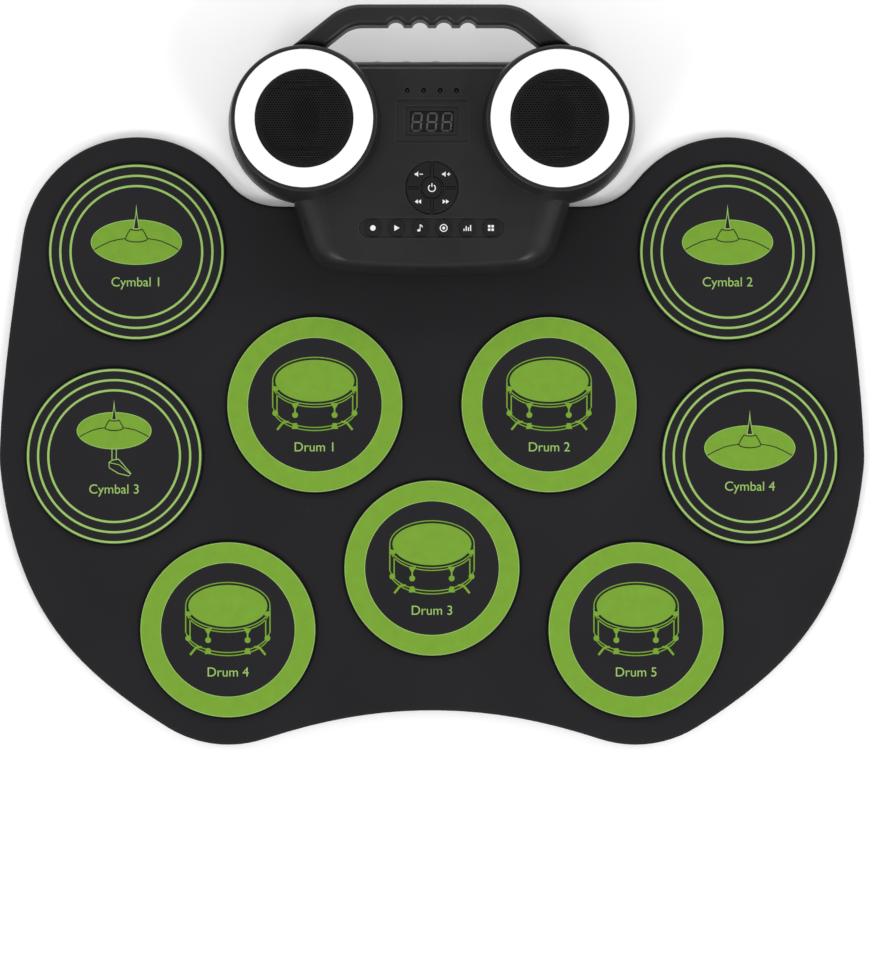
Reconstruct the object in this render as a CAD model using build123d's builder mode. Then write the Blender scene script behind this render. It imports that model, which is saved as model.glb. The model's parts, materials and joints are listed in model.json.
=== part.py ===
from build123d import *
from math import cos, radians, sin
import os

# Electronic roll-up drum pad with a speaker console, in millimetres.
# Origin: centre of the playing mat, on the table plane.
# +X is the player's right, +Y points away from the player, +Z is up.

# ---------------------------------------------------------------- mat and pads
base_sheet_top = 1.0
mat_top = 5.0
mat_edge_radius = 2.0
mat_border = 15.2  # from a pad's edge to the mat's edge
mat_back_y = 130.2
mat_front_y = -151.5

pad_radius = 49.3
pad_top = 6.5
pad_underside = 3.0
pad_gap = 0.6
pad_travel = 0.8
flange_radius = pad_radius + 2.7
flange_top = 3.9
lip_underside = 4.0

crash_x, crash_y = 164.8, 104.5
hihat_x, hihat_y = 177.2, -9.4
tom_x, tom_y = 65.3, 19.3
snare_x, snare_y = 113.8, -106.2
bass_y = -71.8
pads = {
    "crash_pad_left": (-crash_x, crash_y),
    "crash_pad_right": (crash_x, crash_y),
    "hihat_pad": (-hihat_x, hihat_y),
    "ride_pad": (hihat_x, hihat_y),
    "high_tom_pad": (-tom_x, tom_y),
    "low_tom_pad": (tom_x, tom_y),
    "bass_pad": (0, bass_y),
    "snare_pad": (-snare_x, snare_y),
    "floor_tom_pad": (snare_x, snare_y),
}
pad_centers = list(pads.values())

# ---------------------------------------------------------------- sensor stack under each pad
film_thickness = 0.2
film_top = base_sheet_top + film_thickness
film_disc_radius = 47.0
film_strip_width = 5.0
film_hub = (0, 112.0)
film_tail_width = 24.0
piezo_plate_radius = 17.5
piezo_plate_top = film_top + 0.3
piezo_ceramic_radius = 12.5
piezo_ceramic_top = piezo_plate_top + 0.25
foam_top = pad_underside - pad_travel - 0.05
foam_ring_inner, foam_ring_outer = 32.0, 46.0

# ---------------------------------------------------------------- console
wall = 2.0
console_bottom = mat_top
panel_top = 30.0
split_z = 18.0
console_back_y = 209.0
shoulder_y = 131.0
body_back_half = 58.0
# The body's sides curve in towards the panel: height, half width at the front corner, half
# width at the shoulder, front edge, back edge, radius of the front corners.
body_sections = [
    (console_bottom, 66.0, 77.0, 90.5, console_back_y, 20.0),
    (14.0, 65.0, 76.0, 91.0, 208.8, 19.0),
    (22.0, 62.0, 72.6, 92.2, 208.0, 17.0),
    (27.0, 58.0, 66.8, 93.6, 206.4, 13.0),
    (panel_top, 52.0, 58.5, 95.8, 203.0, 9.0),
]
front_curve = 900.0  # the front edge bows out by its half width squared over this

bowl_x, bowl_y = 69.5, 174.0
bowl_base_radius = 43.0
bowl_middle_radius = 42.3
bowl_rim_radius = 39.8
bowl_top = 44.6
bowl_top_plate = 41.0  # underside of the plate that carries the loudspeaker
bowls = {"left": (-bowl_x, bowl_y), "right": (bowl_x, bowl_y)}

trim_outer, trim_inner = 37.6, 26.9
trim_seat, trim_top = 43.4, 45.0
grille_radius = 26.7
grille_seat, grille_top = 42.2, 43.0
grille_rings = 5
grille_ring_pitch = 4.2
grille_hole_radius = 1.1
sound_opening_radius = 24.0

# ---------------------------------------------------------------- loudspeakers
basket_flange_radius = 30.8
basket_flange_bottom = bowl_top_plate - 1.2
basket_mouth_radius = 23.2
basket_base_radius = 15.0
basket_base_z = 28.0
magnet_radius = 15.0
magnet_bottom, magnet_top = 17.0, basket_base_z - 1.5
cone_mouth_radius, cone_mouth_z = 21.5, 39.2
cone_throat_radius, cone_throat_z = 6.0, 31.0
cone_thickness = 0.5
coil_bottom = 27.9
cap_radius, cap_thickness = 9.6, 0.4
cap_center_z, cap_rim_z = 26.6, 32.6
speaker_screw_circle = 28.4
speaker_screw_head, speaker_screw_shank = 1.8, 1.0
speaker_screw_head_height, speaker_screw_length = 1.2, 3.0
speaker_pilot_radius, speaker_clearance_radius = 1.05, 1.3
basket_vent_width, basket_vent_length, basket_vent_height = 12.0, 14.0, 6.5
speaker_screws_per_bowl = 4

# ---------------------------------------------------------------- carry handle
handle_bar_y = 232.1
handle_bar_half = 46.0
handle_leg_angle = 38.5
handle_bend_radius = 22.0
handle_width = 11.4
handle_bottom, handle_top = 20.0, 36.0
scallop_pitch = 13.2
scallop_radius = 4.75
scallop_depth = 3.0
handle_screw_heights = (24.5, 31.5)
handle_screw_x = 64.0
handle_screw_seat_y, handle_screw_tip_y = 212.4, 221.4
handle_screw_head, handle_screw_shank = 2.3, 1.25
handle_pilot_radius = 1.3
handle_clearance_radius = 1.4
handle_edge_radius = 3.0
handle_leg_length = 40.0

# ---------------------------------------------------------------- display, lamps and keys
display_y = 174.4
display_steps = [(39.5, 24.1, 29.1), (29.6, 17.0, 28.0)]  # width, height, floor of each step
window_width, window_height = 24.7, 12.1
window_top, window_bottom = 27.6, 26.4
display_plate_bottom = 25.5
module_width, module_height, module_top = 30.0, 16.0, 25.2

lamp_y, lamp_pitch, lamp_hole_radius = 191.1, 9.0, 1.45

cluster_y = 137.6
cluster_recess_radius = 15.1
quadrant_outer, quadrant_inner = 14.1, 6.6
quadrant_gap = 1.9
power_key_radius = 5.35
row_y = 115.6
row_pitch = 12.95
row_key_radius = 4.4
row_recess_width, row_recess_height = 80.4, 11.5
row_names = ["key_record", "key_play", "key_demo", "key_kit", "key_rhythm", "key_style"]
quadrant_names = ["key_volume_up", "key_volume_down", "key_tempo_down", "key_tempo_up"]

key_top = 30.3
key_bottom = 25.0
key_travel = 0.8
key_clearance = 0.25
key_flange = 0.5
key_flange_top = 26.4
recess_floor = 28.8
key_plate_bottom = 26.6

# ---------------------------------------------------------------- electronics
board_bottom, board_top = 17.9, 19.5
pillar_radius = 2.6
pillar_top = key_bottom - key_travel - 0.1
membrane_top = 20.7
board_screws_at = [(-38.2, 108.0), (38.2, 108.0), (-22.0, 198.0), (22.0, 198.0)]
shell_screws_at = [(46.0, 138.0), (102.0, 162.0), (48.0, 201.0)]
shell_boss_meet = 12.0
shell_boss_radius = 3.2
shell_pilot_radius, shell_pilot_length = 1.3, 12.0
shell_screw_clearance = 1.4
shell_counterbore_radius = 2.6
shell_screw_head, shell_screw_shank = 2.4, 1.2
shell_screw_tip_z = 22.5
board_boss_radius = 2.5
board_pilot_radius, board_pilot_length = 1.0, 6.5
board_screw_head, board_screw_shank = 1.9, 0.95
board_screw_length = 6.0
feet_at = [(bowl_x, 205.0), (88.0, 150.0)]
foot_radius = 8.0
foot_neck_radius, foot_barb_radius = 2.4, 3.2
foot_hole_radius = 2.5
floor_top = console_bottom + wall
control_board_parts = [(129.5, 83.0, 53.0), (179.5, 52.0, 47.0)]  # centre y, width, depth
jack_board_y, jack_board_width, jack_board_depth = 199.0, 74.0, 14.0
jack_board_top = floor_top + 1.4
battery_y, battery_width, battery_depth, battery_height = 158.0, 60.0, 36.0, 8.0

jack_z = 12.0
jack_bore_radius = 1.8
jack_nose_radius = 3.0
jack_bore_length = 14.0
jack_body_width, jack_body_depth, jack_body_top = 12.0, 13.0, 15.6
jacks = {"headphone_jack": -30.0, "aux_jack": -14.0, "pedal_jack": 2.0}
socket_face_y = 206.6
nose_proud = 0.3  # the sockets stand this far out of the back wall
usb_x = 26.0
usb_width, usb_height = 8.0, 3.0
usb_depth = 7.0

clamp_y = 122.0
clamp_bar_length, clamp_bar_width = 120.0, 10.0
clamp_bar_bottom, clamp_bar_top = 0.3, 1.7
clamp_screws_x = (-50.0, -20.0, 20.0, 50.0)
clamp_boss_radius = 2.8
clamp_pilot_radius = 1.05
clamp_head_radius, clamp_shank_radius = 2.2, 1.0

os.makedirs("parts", exist_ok=True)


def save(piece, label):
    """Name a finished piece and write it to its own STEP file."""
    piece.part.label = label
    export_step(piece.part, f"parts/{label}.step")


def both_sides(points):
    """Each point and its mirror image across the YZ plane."""
    return [(side * x, y) for side in (-1, 1) for x, y in points]


# ================================================================ playing mat


def mat_outline():
    """Mat outline: arcs concentric with the outer pads, joined by long smooth curves."""
    lobe_radius = pad_radius + mat_border
    with BuildSketch() as outline:
        with BuildLine():
            valley = Line((0, mat_back_y), (-84, mat_back_y))
            crash_lobe = CenterArc((-crash_x, crash_y), lobe_radius, 38, 134)
            hihat_lobe = CenterArc((-hihat_x, hihat_y), lobe_radius, 178, 8)
            snare_lobe = CenterArc((-snare_x, snare_y), lobe_radius, 238, 50)
            Spline(valley @ 1, crash_lobe @ 0, tangents=(valley % 1, crash_lobe % 0))
            Spline(crash_lobe @ 1, hihat_lobe @ 0, tangents=(crash_lobe % 1, hihat_lobe % 0))
            Spline(
                hihat_lobe @ 1,
                (-213, -103),
                snare_lobe @ 0,
                tangents=(hihat_lobe % 1, snare_lobe % 0),
            )
            Spline(snare_lobe @ 1, (0, mat_front_y), tangents=(snare_lobe % 1, (1, 0)))
            mirror(about=Plane.YZ)
        make_face()
    return outline.sketch


def film_outline(growth):
    """Sensor film: a disc under each pad and strips that carry the traces to the hub."""
    routes = []
    for side in (-1, 1):
        tom = (side * tom_x, tom_y)
        routes.append(((side * crash_x, crash_y), film_hub))
        routes.append(((side * hihat_x, hihat_y), tom))
        routes.append((tom, film_hub))
        routes.append(((side * snare_x, snare_y), (0, bass_y)))
    routes.append(((0, bass_y), film_hub))
    with BuildSketch() as film:
        with Locations(*pad_centers):
            Circle(film_disc_radius + growth)
        for start, end in routes:
            with BuildLine():
                Line(start, end)
            trace(line_width=film_strip_width + 2 * growth)
        with Locations(film_hub):
            Rectangle(film_tail_width + 4 + 2 * growth, film_strip_width + 2 * growth)
    return film.sketch


outline = mat_outline()
film_shape = film_outline(0)
film_groove = film_outline(0.5)

with BuildPart() as mat_base_sheet:
    add(outline)
    extrude(amount=base_sheet_top)
    with BuildSketch():
        with Locations((0, clamp_y)):
            Rectangle(clamp_bar_length + 1, clamp_bar_width + 1)
    extrude(amount=base_sheet_top, mode=Mode.SUBTRACT)
save(mat_base_sheet, "mat_base_sheet")

with BuildPart() as mat_top_sheet:
    with BuildSketch(Plane.XY.offset(base_sheet_top)):
        add(outline)
    extrude(amount=mat_top - base_sheet_top)
    fillet(mat_top_sheet.edges().group_by(Axis.Z)[-1], mat_edge_radius)
    with BuildSketch(Plane.XY.offset(base_sheet_top)):
        with Locations(*pad_centers):
            Circle(flange_radius + pad_gap)
    extrude(amount=lip_underside - base_sheet_top, mode=Mode.SUBTRACT)
    with BuildSketch(Plane.XY.offset(lip_underside)):
        with Locations(*pad_centers):
            Circle(pad_radius + pad_gap)
    extrude(amount=mat_top - lip_underside, mode=Mode.SUBTRACT)
    with BuildSketch(Plane.XY.offset(base_sheet_top)):
        add(film_groove)
    extrude(amount=2 * film_thickness, mode=Mode.SUBTRACT)
    with BuildSketch(Plane.XY.offset(base_sheet_top)):
        with Locations((0, clamp_y)):
            Rectangle(clamp_bar_length + 1, clamp_bar_width + 1)
    extrude(amount=clamp_bar_top + 0.05 - base_sheet_top, mode=Mode.SUBTRACT)
    with BuildSketch(Plane.XY.offset(base_sheet_top)):
        with Locations(film_hub):
            Rectangle(film_tail_width + 1, 1.5)
        with Locations(*[(x, clamp_y) for x in clamp_screws_x]):
            Circle(1.4)
    extrude(amount=mat_top - base_sheet_top, mode=Mode.SUBTRACT)
save(mat_top_sheet, "mat_top_sheet")

for pad_name, center in pads.items():
    with BuildPart() as pad:
        with BuildSketch(Plane.XY.offset(pad_underside)):
            with Locations(center):
                Circle(flange_radius)
        extrude(amount=flange_top - pad_underside)
        with BuildSketch(Plane.XY.offset(pad_underside)):
            with Locations(center):
                Circle(pad_radius)
        extrude(amount=pad_top - pad_underside)
        fillet(pad.edges().group_by(Axis.Z)[-1], 0.8)
    save(pad, pad_name)

with BuildPart() as sensor_film:
    with BuildSketch(Plane.XY.offset(base_sheet_top)):
        add(film_shape)
    extrude(amount=film_thickness)
    with BuildSketch(Plane.XY.offset(base_sheet_top)):
        with Locations(film_hub):
            Rectangle(film_tail_width, film_thickness)
    extrude(amount=board_bottom - 0.1 - base_sheet_top)
save(sensor_film, "sensor_film")

with BuildPart() as piezo_plates:
    with BuildSketch(Plane.XY.offset(film_top)):
        with Locations(*pad_centers):
            Circle(piezo_plate_radius)
    extrude(amount=piezo_plate_top - film_top)
save(piezo_plates, "piezo_plates")

with BuildPart() as piezo_ceramics:
    with BuildSketch(Plane.XY.offset(piezo_plate_top)):
        with Locations(*pad_centers):
            Circle(piezo_ceramic_radius)
    extrude(amount=piezo_ceramic_top - piezo_plate_top)
save(piezo_ceramics, "piezo_ceramics")

with BuildPart() as sensor_foam:
    with BuildSketch(Plane.XY.offset(film_top)):
        with Locations(*pad_centers):
            Circle(foam_ring_outer)
            Circle(foam_ring_inner, mode=Mode.SUBTRACT)
    extrude(amount=foam_top - film_top)
    with BuildSketch(Plane.XY.offset(piezo_ceramic_top)):
        with Locations(*pad_centers):
            Circle(piezo_ceramic_radius - 2)
    extrude(amount=foam_top - piezo_ceramic_top)
save(sensor_foam, "sensor_foam")


# ================================================================ console shells


def meridian_plane(center):
    """Vertical plane through a bowl's axis: local x is the radius, local y the height."""
    return Plane(origin=(center[0], center[1], 0), x_dir=(1, 0, 0), z_dir=(0, -1, 0))


def console_form(inset):
    """Closed form of the console body and its two bowls, drawn in by inset on every side."""
    height = panel_top - console_bottom
    squeeze = (height - 2 * inset) / height
    bowl_ceiling = bowl_top_plate if inset else bowl_top
    bottom = console_bottom + inset
    with BuildPart() as form:
        for level, front_half, shoulder_half, front, back, corner_radius in body_sections:
            section_z = bottom + (level - console_bottom) * squeeze
            corner = (front_half - inset, front + front_half**2 / front_curve + inset)
            shoulder = (shoulder_half - inset, shoulder_y)
            with BuildSketch(Plane.XY.offset(section_z)) as section:
                with BuildLine():
                    ThreePointArc((-corner[0], corner[1]), (0, front + inset), corner)
                    Polyline(
                        corner,
                        shoulder,
                        (bowl_x - inset, bowl_y),
                        (body_back_half - inset, back - inset),
                        (inset - body_back_half, back - inset),
                        (inset - bowl_x, bowl_y),
                        (-shoulder[0], shoulder[1]),
                        (-corner[0], corner[1]),
                    )
                make_face()
                front_corners = section.vertices().group_by(Axis.Y)[0]
                fillet(front_corners, corner_radius - inset)
        loft()
        for x, y in bowls.values():
            with BuildSketch(meridian_plane((x, y))):
                with BuildLine():
                    Polyline(
                        (bowl_rim_radius - inset, bowl_ceiling),
                        (0, bowl_ceiling),
                        (0, bottom),
                        (bowl_base_radius - inset, bottom),
                    )
                    ThreePointArc(
                        (bowl_base_radius - inset, bottom),
                        (bowl_middle_radius - inset, 28.0),
                        (bowl_rim_radius - inset, bowl_ceiling),
                    )
                make_face()
            revolve(axis=Axis((x, y, 0), (0, 0, 1)))
    return form.part


outer_form = console_form(0)
inner_form = console_form(wall)

with BuildPart() as upper_shell:
    add(outer_form)
    bowl_rims = upper_shell.edges().filter_by(GeomType.CIRCLE).group_by(Axis.Z)[-1]
    fillet(bowl_rims, 1.2)
    split(bisect_by=Plane.XY.offset(split_z), keep=Keep.TOP)
    add(inner_form, mode=Mode.SUBTRACT)
    # plates that thicken the panel under the keys and the display
    with BuildSketch(Plane.XY.offset(key_plate_bottom)):
        with Locations((0, cluster_y)):
            Circle(cluster_recess_radius + 2)
        with Locations((0, row_y)):
            Rectangle(row_recess_width + 3, row_recess_height + 3)
    extrude(amount=panel_top - 1 - key_plate_bottom)
    with BuildSketch(Plane.XY.offset(display_plate_bottom)):
        with Locations((0, display_y)):
            Rectangle(display_steps[0][0] + 3, display_steps[0][1] + 3)
    extrude(amount=panel_top - 1 - display_plate_bottom)
    # bosses for the shell screws and the control board
    with BuildSketch(Plane.XY.offset(shell_boss_meet)):
        with Locations(*both_sides(shell_screws_at)):
            Circle(shell_boss_radius)
    extrude(amount=panel_top - 1 - shell_boss_meet)
    with BuildSketch(Plane.XY.offset(panel_top - 4)):
        with Locations(*both_sides(shell_screws_at[1:])):
            Circle(shell_boss_radius)
    extrude(amount=bowl_top_plate + 0.5 - panel_top + 4)
    with BuildSketch(Plane.XY.offset(board_top)):
        with Locations(*board_screws_at):
            Circle(board_boss_radius)
    extrude(amount=panel_top - 1 - board_top)
    with BuildSketch(Plane.XY.offset(board_top)):
        with Locations(*board_screws_at):
            Circle(board_pilot_radius)
    extrude(amount=board_pilot_length, mode=Mode.SUBTRACT)
    with BuildSketch(Plane.XY.offset(shell_boss_meet)):
        with Locations(*both_sides(shell_screws_at)):
            Circle(shell_pilot_radius)
    extrude(amount=shell_pilot_length, mode=Mode.SUBTRACT)
    # seats for the trim ring and the grille, sound opening and speaker screw holes
    for x, y in bowls.values():
        for radius, floor in (
            (trim_outer + 0.2, trim_seat),
            (grille_radius + 0.15, grille_seat),
            (sound_opening_radius, bowl_top_plate),
        ):
            with BuildSketch(Plane.XY.offset(floor)):
                with Locations((x, y)):
                    Circle(radius)
            extrude(amount=bowl_top - floor, mode=Mode.SUBTRACT)
        with BuildSketch(Plane.XY.offset(bowl_top_plate)):
            with Locations((x, y)):
                with PolarLocations(speaker_screw_circle, speaker_screws_per_bowl, start_angle=45):
                    Circle(speaker_pilot_radius)
        extrude(amount=2.0, mode=Mode.SUBTRACT)
    # holes for the handle screws
    with BuildSketch(Plane.XZ.offset(-handle_screw_seat_y + 3)):
        with Locations(*both_sides([(handle_screw_x, z) for z in handle_screw_heights])):
            Circle(handle_clearance_radius)
    extrude(amount=-10, mode=Mode.SUBTRACT)
    # stepped display recess and its window
    for step_width, step_height, floor in display_steps:
        with BuildSketch(Plane.XY.offset(floor)):
            with Locations((0, display_y)):
                RectangleRounded(step_width, step_height, 1.2)
        extrude(amount=panel_top - floor, mode=Mode.SUBTRACT)
    with BuildSketch(Plane.XY.offset(display_plate_bottom)):
        with Locations((0, display_y)):
            Rectangle(window_width, window_height)
    extrude(amount=panel_top - display_plate_bottom, mode=Mode.SUBTRACT)
    # indicator lamp holes
    with BuildSketch(Plane.XY.offset(panel_top - wall - 1)):
        with Locations((0, lamp_y)):
            with GridLocations(lamp_pitch, 0, 4, 1):
                Circle(lamp_hole_radius)
    extrude(amount=wall + 1, mode=Mode.SUBTRACT)
    # key recesses and key holes
    with BuildSketch(Plane.XY.offset(recess_floor)):
        with Locations((0, cluster_y)):
            Circle(cluster_recess_radius)
        with Locations((0, row_y)):
            SlotOverall(row_recess_width, row_recess_height)
    extrude(amount=panel_top - recess_floor, mode=Mode.SUBTRACT)
    with BuildSketch(Plane.XY.offset(key_plate_bottom)):
        with Locations((0, cluster_y)):
            Circle(quadrant_outer + key_clearance)
            Circle(quadrant_inner - key_clearance, mode=Mode.SUBTRACT)
            Rectangle(2 * quadrant_outer + 2, quadrant_gap - 2 * key_clearance, mode=Mode.SUBTRACT)
            Rectangle(quadrant_gap - 2 * key_clearance, 2 * quadrant_outer + 2, mode=Mode.SUBTRACT)
            Circle(power_key_radius + key_clearance)
        with Locations((0, row_y)):
            with GridLocations(row_pitch, 0, len(row_names), 1):
                Circle(row_key_radius + key_clearance)
    extrude(amount=panel_top - key_plate_bottom, mode=Mode.SUBTRACT)
save(upper_shell, "upper_shell")

with BuildPart() as lower_shell:
    add(outer_form)
    split(bisect_by=Plane.XY.offset(split_z), keep=Keep.BOTTOM)
    add(inner_form, mode=Mode.SUBTRACT)
    # bosses for the shell screws and the clamp screws
    with BuildSketch(Plane.XY.offset(console_bottom)):
        with Locations(*both_sides(shell_screws_at)):
            Circle(shell_boss_radius)
        with Locations(*[(x, clamp_y) for x in clamp_screws_x]):
            Circle(clamp_boss_radius)
    extrude(amount=shell_boss_meet - 0.05 - console_bottom)
    with BuildSketch(Plane.XY.offset(console_bottom)):
        with Locations(*both_sides(shell_screws_at)):
            Circle(shell_counterbore_radius)
        with Locations(*both_sides(feet_at)):
            Circle(foot_hole_radius)
        with Locations(film_hub):
            Rectangle(film_tail_width + 1, 1.5)
    extrude(amount=wall, mode=Mode.SUBTRACT)
    with BuildSketch(Plane.XY.offset(console_bottom)):
        with Locations(*both_sides(shell_screws_at)):
            Circle(shell_screw_clearance)
        with Locations(*[(x, clamp_y) for x in clamp_screws_x]):
            Circle(clamp_pilot_radius)
    extrude(amount=shell_boss_meet - console_bottom, mode=Mode.SUBTRACT)
    # openings for the sockets in the back wall
    with BuildSketch(Plane.XZ.offset(-console_back_y - 1)):
        with Locations(*[(x, jack_z) for x in jacks.values()]):
            Circle(jack_nose_radius + 0.1)
        with Locations((usb_x, jack_z)):
            Rectangle(usb_width + 0.3, usb_height + 0.3)
    extrude(amount=wall + 2.5, mode=Mode.SUBTRACT)
save(lower_shell, "lower_shell")


# ================================================================ carry handle

leg_direction = (cos(radians(handle_leg_angle)), -sin(radians(handle_leg_angle)))
leg_end = (
    -handle_bar_half - handle_leg_length * leg_direction[0],
    handle_bar_y + handle_leg_length * leg_direction[1],
)
grip_xs = [(i - 1.5) * scallop_pitch for i in range(4)]
scallop_y = handle_bar_y - handle_width / 2 - scallop_radius + scallop_depth

with BuildPart() as handle:
    with BuildSketch(Plane.XY.offset(handle_bottom)):
        with BuildLine():
            FilletPolyline(
                leg_end,
                (-handle_bar_half, handle_bar_y),
                (handle_bar_half, handle_bar_y),
                (-leg_end[0], leg_end[1]),
                radius=handle_bend_radius,
            )
        trace(line_width=handle_width)
        with Locations(*[(x, scallop_y) for x in grip_xs]):
            Circle(scallop_radius, mode=Mode.SUBTRACT)
    extrude(amount=handle_top - handle_bottom)
    add(outer_form, mode=Mode.SUBTRACT)
    # each leg's stub inside its bowl is cut away with the bowl's round interior
    with BuildSketch(Plane.XY.offset(handle_bottom)):
        with Locations(*bowls.values()):
            Circle(bowl_rim_radius)
    extrude(amount=handle_top - handle_bottom, mode=Mode.SUBTRACT)
    rims = handle.edges().filter_by(Plane.XY)
    fillet(rims, handle_edge_radius)
    with BuildSketch(Plane.XZ.offset(-handle_screw_seat_y)):
        with Locations(*both_sides([(handle_screw_x, z) for z in handle_screw_heights])):
            Circle(handle_pilot_radius)
    extrude(amount=handle_screw_seat_y - handle_screw_tip_y - 0.5, mode=Mode.SUBTRACT)
save(handle, "handle")

with BuildPart() as handle_screws:
    with BuildSketch(Plane.XZ.offset(-handle_screw_seat_y)):
        with Locations(*both_sides([(handle_screw_x, z) for z in handle_screw_heights])):
            Circle(handle_screw_head)
    extrude(amount=1.8)
    with BuildSketch(Plane.XZ.offset(-handle_screw_seat_y)):
        with Locations(*both_sides([(handle_screw_x, z) for z in handle_screw_heights])):
            Circle(handle_screw_shank)
    extrude(amount=handle_screw_seat_y - handle_screw_tip_y)
save(handle_screws, "handle_screws")


# ================================================================ loudspeakers

for side, center in bowls.items():
    spin_axis = Axis((center[0], center[1], 0), (0, 0, 1))
    meridian = meridian_plane(center)

    with BuildPart() as trim_ring:
        with BuildSketch(Plane.XY.offset(trim_seat)):
            with Locations(center):
                Circle(trim_outer)
                Circle(trim_inner, mode=Mode.SUBTRACT)
        extrude(amount=trim_top - trim_seat)
        fillet(trim_ring.edges().group_by(Axis.Z)[-1], 0.6)
    save(trim_ring, f"{side}_trim_ring")

    with BuildPart() as grille:
        with BuildSketch(Plane.XY.offset(grille_seat)):
            with Locations(center):
                Circle(grille_radius)
                Circle(grille_hole_radius, mode=Mode.SUBTRACT)
                for ring in range(1, grille_rings + 1):
                    with PolarLocations(ring * grille_ring_pitch, 6 * ring):
                        Circle(grille_hole_radius, mode=Mode.SUBTRACT)
        extrude(amount=grille_top - grille_seat)
    save(grille, f"{side}_grille")

    with BuildPart() as basket:
        with BuildSketch(meridian):
            with BuildLine():
                Polyline(
                    (basket_mouth_radius, bowl_top_plate),
                    (basket_flange_radius, bowl_top_plate),
                    (basket_flange_radius, basket_flange_bottom),
                    (basket_mouth_radius + 2, basket_flange_bottom),
                    (basket_base_radius + 1.2, magnet_top),
                    (8, magnet_top),
                    (8, basket_base_z),
                    (basket_base_radius, basket_base_z),
                    (basket_mouth_radius, basket_flange_bottom - 1.3),
                    close=True,
                )
            make_face()
        revolve(axis=spin_axis)
        with BuildSketch(Plane.XY.offset(basket_flange_bottom)):
            with Locations(center):
                with PolarLocations(speaker_screw_circle, speaker_screws_per_bowl, start_angle=45):
                    Circle(speaker_clearance_radius)
        extrude(amount=bowl_top_plate - basket_flange_bottom, mode=Mode.SUBTRACT)
        with BuildSketch(Plane.XY.offset(basket_base_z + 2.5)):
            with Locations(center):
                with PolarLocations(basket_base_radius + 6, 4):
                    Rectangle(basket_vent_width, basket_vent_length)
        extrude(amount=basket_vent_height, mode=Mode.SUBTRACT)
    save(basket, f"{side}_basket")

    with BuildPart() as magnet:
        with BuildSketch(Plane.XY.offset(magnet_bottom)):
            with Locations(center):
                Circle(magnet_radius)
        extrude(amount=magnet_top - magnet_bottom)
        fillet(magnet.edges(), 0.8)
        with BuildSketch(Plane.XY.offset(magnet_top)):
            with Locations(center):
                Circle(cone_throat_radius - 0.9)
        extrude(amount=2.0)
    save(magnet, f"{side}_magnet")

    with BuildPart() as cone:
        with BuildSketch(meridian):
            with BuildLine():
                Polyline(
                    (cone_throat_radius - 0.4, coil_bottom),
                    (cone_throat_radius, coil_bottom),
                    (cone_throat_radius, cone_throat_z),
                    (cone_mouth_radius, cone_mouth_z),
                    (cone_mouth_radius, cone_mouth_z + cone_thickness),
                    (cone_throat_radius - 0.4, cone_throat_z + cone_thickness),
                    close=True,
                )
            make_face()
        revolve(axis=spin_axis)
    save(cone, f"{side}_cone")

    with BuildPart() as dust_cap:
        with Locations((center[0], center[1], cap_center_z)):
            Sphere(cap_radius)
            Sphere(cap_radius - cap_thickness, mode=Mode.SUBTRACT)
        split(bisect_by=Plane.XY.offset(cap_rim_z), keep=Keep.TOP)
    save(dust_cap, f"{side}_dust_cap")

with BuildPart() as speaker_screws:
    for center in bowls.values():
        for radius, floor, height in (
            (
                speaker_screw_head,
                basket_flange_bottom - speaker_screw_head_height,
                speaker_screw_head_height,
            ),
            (speaker_screw_shank, basket_flange_bottom, speaker_screw_length),
        ):
            with BuildSketch(Plane.XY.offset(floor)):
                with Locations(center):
                    with PolarLocations(speaker_screw_circle, speaker_screws_per_bowl, start_angle=45):
                        Circle(radius)
            extrude(amount=height)
save(speaker_screws, "speaker_screws")

with BuildPart() as speaker_leads:
    for side in (-1, 1):
        for lead_y in (180.0, 182.0):
            with BuildLine() as lead_path:
                Spline(
                    (side * 45.0, lead_y, 36.5),
                    (side * 37.0, lead_y + 0.5, 29.5),
                    (side * 30.0, lead_y + 1.0, 24.5),
                    (side * 24.0, lead_y + 2.0, board_top + 0.8),
                )
            with BuildSketch(Plane(origin=lead_path.line @ 0, z_dir=lead_path.line % 0)):
                Circle(0.7)
            sweep(path=lead_path.line)
save(speaker_leads, "speaker_leads")


# ================================================================ display and lamps

with BuildPart() as display_window:
    with BuildSketch(Plane.XY.offset(window_bottom)):
        with Locations((0, display_y)):
            Rectangle(window_width - 0.2, window_height - 0.2)
    extrude(amount=window_top - window_bottom)
save(display_window, "display_window")

with BuildPart() as display_module:
    with BuildSketch(Plane.XY.offset(board_top)):
        with Locations((0, display_y)):
            Rectangle(module_width, module_height)
    extrude(amount=module_top - board_top)
    chamfer(display_module.edges().group_by(Axis.Z)[-1], 0.4)
save(display_module, "display_module")

with BuildPart() as indicator_leds:
    for radius, floor, ceiling in ((1.6, 23.5, 24.3), (1.3, 24.3, 29.0)):
        with BuildSketch(Plane.XY.offset(floor)):
            with Locations((0, lamp_y)):
                with GridLocations(lamp_pitch, 0, 4, 1):
                    Circle(radius)
        extrude(amount=ceiling - floor)
    fillet(indicator_leds.edges().group_by(Axis.Z)[-1], 1.2)
    with BuildSketch(Plane.XY.offset(board_top)):
        with Locations((0, lamp_y)):
            with GridLocations(lamp_pitch, 0, 4, 1):
                with GridLocations(1.8, 0, 2, 1):
                    Circle(0.3)
    extrude(amount=23.5 - board_top)
save(indicator_leds, "indicator_leds")


# ================================================================ keys


def quadrant_face(growth):
    """Plan of the cluster's upper right key, grown outward by growth."""
    half_gap = quadrant_gap / 2 - growth
    with BuildSketch() as face:
        with Locations((half_gap, half_gap)):
            Rectangle(20, 20, align=(Align.MIN, Align.MIN))
        Circle(quadrant_outer + growth, mode=Mode.INTERSECT)
        Circle(quadrant_inner - growth, mode=Mode.SUBTRACT)
    return face.sketch


def round_face(radius):
    """Plan of a round key."""
    with BuildSketch() as face:
        Circle(radius)
    return face.sketch


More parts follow.
